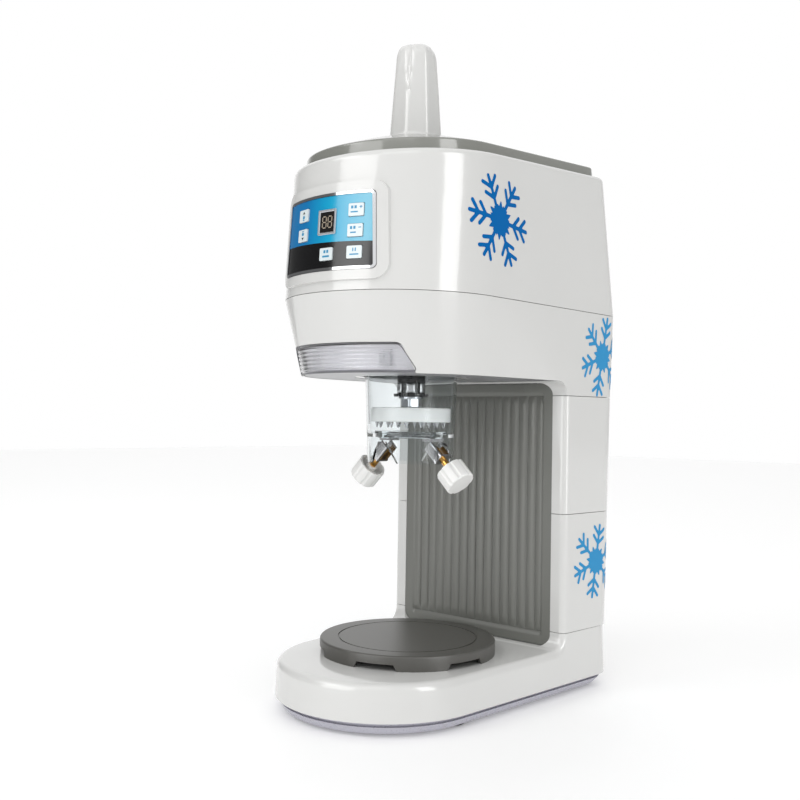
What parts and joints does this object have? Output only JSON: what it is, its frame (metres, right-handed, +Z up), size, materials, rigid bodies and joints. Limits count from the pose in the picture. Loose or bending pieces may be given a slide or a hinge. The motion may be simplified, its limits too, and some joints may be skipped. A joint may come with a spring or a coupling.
{
  "type": "shaved ice machine",
  "caption": "Countertop shaved ice machine with a clear ice cup and adjuster knobs over a round bowl plate, a ribbed splash panel, a lifting feed handle and a curved key panel.",
  "frame": {"origin": "under the middle of the footprint, on the counter", "axes": "+Z up, the bowl bay opens towards -Y, and X is across the machine"},
  "size_m": [0.222, 0.3205, 0.6],
  "materials": {
    "white_abs": "glossy moulded, warm white",
    "grey_abs": "glossy moulded, grey",
    "plinth_abs": "satin moulded, cool grey",
    "panel_grey": "satin moulded, ribbed",
    "plate_grey": "satin moulded, dark grey",
    "clear_pc": "clear polycarbonate",
    "smoke_lens": "smoky ribbed lens",
    "white_acetal": "satin turned acetal",
    "knob_white": "moulded white",
    "black_nylon": "moulded black",
    "rubber": "black rubber",
    "steel": "brushed stainless",
    "painted_steel": "grey powder coat",
    "aluminium": "machined",
    "cast_iron": "cast, machined faces",
    "brass": "turned brass",
    "chrome": "chromed trim",
    "membrane": "printed membrane, blue over black",
    "key_cap": "pale key",
    "display": "dark display filter",
    "board": "circuit board"
  },
  "bodies": {
    "housing": {"bottom_plate": "plinth_abs", "rubber_feet": "rubber", "base_shell": "white_abs", "column_lower_shell": "white_abs", "column_upper_shell": "white_abs", "splash_panel": "panel_grey", "column_frame": "painted_steel", "head_lower_shell": "white_abs", "light_lens": "smoke_lens", "head_underside_plate": "white_abs", "light_board": "board", "head_upper_shell": "white_abs", "panel_bezel": "chrome", "top_lid": "grey_abs", "head_frame": "painted_steel", "bearing_housing": "aluminium", "spindle_bearings": "steel", "main_motor": "painted_steel", "drive_belt": "rubber", "guide_rods": "steel", "crosshead": "aluminium", "feed_motor": "painted_steel", "cup_collar": "white_abs", "panel_overlay": "membrane", "display_window": "display", "control_board": "board", "power_board": "board", "power_inlet": "black_nylon", "switch_bezel": "black_nylon", "frame_screws": "steel"},
    "feed_carriage": {"carriage_block": "aluminium", "carriage_bearing": "steel", "lead_nut": "brass", "handle_rod": "steel", "lift_handle": "white_abs"},
    "spindle": {"spindle_shaft": "steel", "drive_coupler": "black_nylon", "spindle_nut": "chrome", "press_disc": "white_acetal", "press_spikes": "steel"},
    "drive_pulley": {"drive_pulley": "aluminium"},
    "motor_rotor": {"motor_shaft": "steel", "motor_pulley": "aluminium"},
    "lead_screw": {"lead_screw": "steel"},
    "ice_cup": {"ice_cup": "clear_pc", "blade_holder": "clear_pc", "blade": "steel", "adjuster_brackets": "steel"},
    "knob_left": {"adjuster_knob_left": "knob_white", "adjuster_screw_left": "brass"},
    "knob_right": {"adjuster_knob_right": "knob_white", "adjuster_screw_right": "brass"},
    "bowl_plate": {"bowl_plate": "plate_grey"},
    "power_switch": {"power_switch": "black_nylon"},
    "key_up": {"key_up": "key_cap"},
    "key_down": {"key_down": "key_cap"},
    "key_timer": {"key_timer": "key_cap"},
    "key_lamp": {"key_lamp": "key_cap"},
    "key_auto": {"key_auto": "key_cap"},
    "key_pause": {"key_pause": "key_cap"}
  },
  "joints": [
    {"name": "feed_slide", "type": "slide", "parent": "housing", "child": "feed_carriage", "axis": [0, 0, 1], "range_m": [0, 0.04]},
    {"name": "spindle_turn", "type": "hinge", "parent": "feed_carriage", "child": "spindle", "pos_m": [0, -0.0327, 0.3], "axis": [0, 0, 1], "continuous": true},
    {"name": "drive_turn", "type": "hinge", "parent": "housing", "child": "drive_pulley", "pos_m": [0, -0.0327, 0.36], "axis": [0, 0, 1], "continuous": true},
    {"name": "motor_turn", "type": "hinge", "parent": "housing", "child": "motor_rotor", "pos_m": [0, 0.112, 0.36], "axis": [0, 0, 1], "continuous": true},
    {"name": "lead_turn", "type": "hinge", "parent": "housing", "child": "lead_screw", "pos_m": [0, 0.0073, 0.43], "axis": [0, 0, 1], "range_deg": [0, 1801]},
    {"name": "cup_twist", "type": "hinge", "parent": "housing", "child": "ice_cup", "pos_m": [0, -0.0327, 0.3], "axis": [0, 0, 1], "range_deg": [0, 30]},
    {"name": "knob_left_turn", "type": "hinge", "parent": "ice_cup", "child": "knob_left", "pos_m": [-0.053, -0.0327, 0.205], "axis": [-0.7071, 0, -0.7071], "range_deg": [-180, 180]},
    {"name": "knob_right_turn", "type": "hinge", "parent": "ice_cup", "child": "knob_right", "pos_m": [0.053, -0.0327, 0.205], "axis": [0.7071, 0, -0.7071], "range_deg": [-180, 180]},
    {"name": "plate_lift", "type": "slide", "parent": "housing", "child": "bowl_plate", "axis": [0, 0, 1], "range_m": [0, 0.04]},
    {"name": "switch_rock", "type": "hinge", "parent": "housing", "child": "power_switch", "pos_m": [0.05, 0.148, 0.034], "axis": [1, 0, 0], "range_deg": [0, 12]},
    {"name": "key_up_press", "type": "slide", "parent": "housing", "child": "key_up", "axis": [0.2112, 0.9756, -0.0608], "range_m": [0, 0.0008], "stiffness_N_per_m": 300},
    {"name": "key_down_press", "type": "slide", "parent": "housing", "child": "key_down", "axis": [0.2109, 0.9756, -0.0608], "range_m": [0, 0.0008], "stiffness_N_per_m": 300},
    {"name": "key_timer_press", "type": "slide", "parent": "housing", "child": "key_timer", "axis": [-0.3283, 0.9426, -0.0608], "range_m": [0, 0.0008], "stiffness_N_per_m": 300},
    {"name": "key_lamp_press", "type": "slide", "parent": "housing", "child": "key_lamp", "axis": [-0.3279, 0.9428, -0.0608], "range_m": [0, 0.0008], "stiffness_N_per_m": 300},
    {"name": "key_auto_press", "type": "slide", "parent": "housing", "child": "key_auto", "axis": [-0.0814, 0.9948, -0.0608], "range_m": [0, 0.0008], "stiffness_N_per_m": 300},
    {"name": "key_pause_press", "type": "slide", "parent": "housing", "child": "key_pause", "axis": [-0.3303, 0.9419, -0.0608], "range_m": [0, 0.0008], "stiffness_N_per_m": 300}
  ],
  "couplings": [
    {"joint": "spindle_turn", "follows": "drive_turn", "ratio": 1},
    {"joint": "motor_turn", "follows": "drive_turn", "ratio": 3},
    {"joint": "lead_turn", "follows": "feed_slide", "rad_per_m": 785.4}
  ]
}
